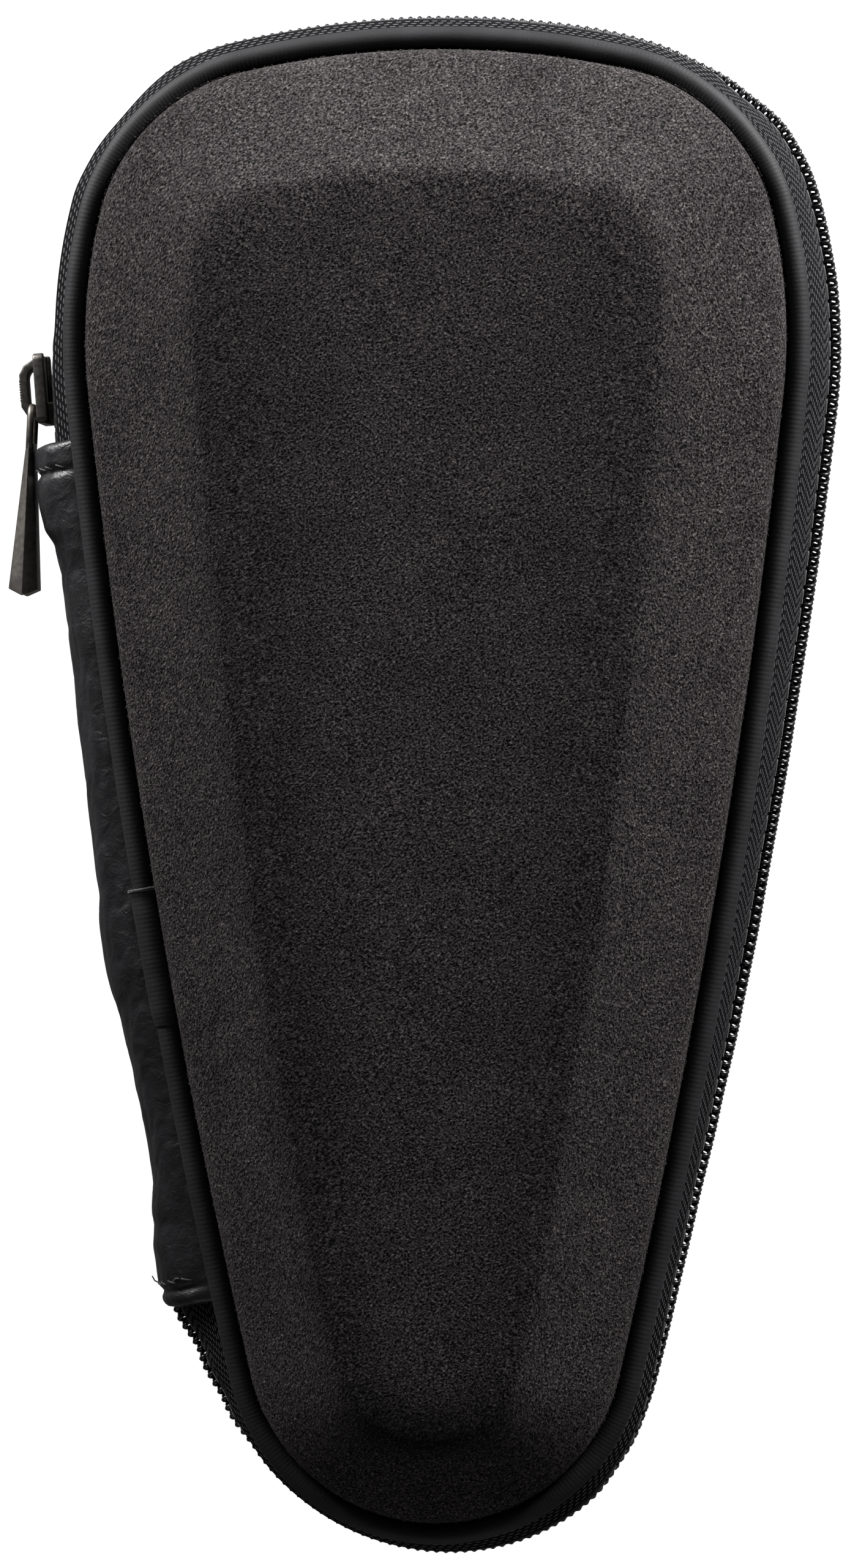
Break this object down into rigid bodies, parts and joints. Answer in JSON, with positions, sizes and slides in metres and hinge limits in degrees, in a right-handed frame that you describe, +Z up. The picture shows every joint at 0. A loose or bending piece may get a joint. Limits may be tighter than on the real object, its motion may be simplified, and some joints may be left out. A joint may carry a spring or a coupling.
{
  "type": "pen case",
  "caption": "Tapered moulded zip case for fountain pens: suede-covered lid and base, piping, coil zip with slider and puller, leather hinge strip and elastic pen loops.",
  "frame": {"origin": "middle of the flat face that the closed case rests on, on its centre line", "axes": "+Z up through the lid, +Y towards the wide end, +X towards the side away from the leather hinge"},
  "size_m": [0.1136, 0.2124, 0.054],
  "materials": {
    "suede": "black microsuede with a short nap",
    "foam": "closed-cell moulded EVA foam",
    "lining": "fine black tricot lining",
    "piping": "matte PU wrap with fine cross ribs",
    "cord": "extruded filler cord",
    "binding": "folded woven binding strip",
    "zip_tape": "herringbone woven polyester tape",
    "zip_coil": "black nylon coil",
    "hinge_leather": "wrinkled black leatherette",
    "pen_pad": "padded board in brushed fabric",
    "elastic": "ribbed woven elastic",
    "slider_metal": "black enamelled die casting",
    "puller_metal": "gunmetal plated die casting"
  },
  "bodies": {
    "base": {"base_cover": "suede", "base_shell": "foam", "base_lining": "lining", "base_piping": "piping", "base_piping_cord": "cord", "base_seam_binding": "binding", "base_tape": "zip_tape", "base_coil": "zip_coil", "base_coil_end": "zip_coil", "hinge_strip": "hinge_leather", "pen_pad": "pen_pad", "pen_band": "elastic"},
    "lid": {"lid_cover": "suede", "lid_shell": "foam", "lid_lining": "lining", "lid_piping": "piping", "lid_piping_cord": "cord", "lid_piping_sleeve": "piping", "lid_seam_binding": "binding", "lid_tape": "zip_tape", "lid_coil": "zip_coil", "lid_coil_end": "zip_coil"},
    "slider": {"slider_body": "slider_metal", "slider_bail": "slider_metal"},
    "puller": {"zip_puller": "puller_metal"}
  },
  "joints": [
    {"name": "lid_hinge", "type": "hinge", "parent": "base", "child": "lid", "pos_m": [-0.046, -0.01307, 0.027], "axis": [0.1636, -0.9865, 0], "range_deg": [0, 180], "deforming": ["hinge_strip"]},
    {"name": "zip_travel", "type": "hinge", "parent": "base", "child": "slider", "pos_m": [0.0255, 0.06, 0.027], "axis": [0, 0, -1], "range_deg": [0, 18], "deforming": ["base_coil_end", "lid_coil_end"]},
    {"name": "puller_swing", "type": "hinge", "parent": "slider", "child": "puller", "pos_m": [-0.05615, 0.05155, 0.027], "axis": [0, 0, -1], "range_deg": [0, 120]}
  ]
}
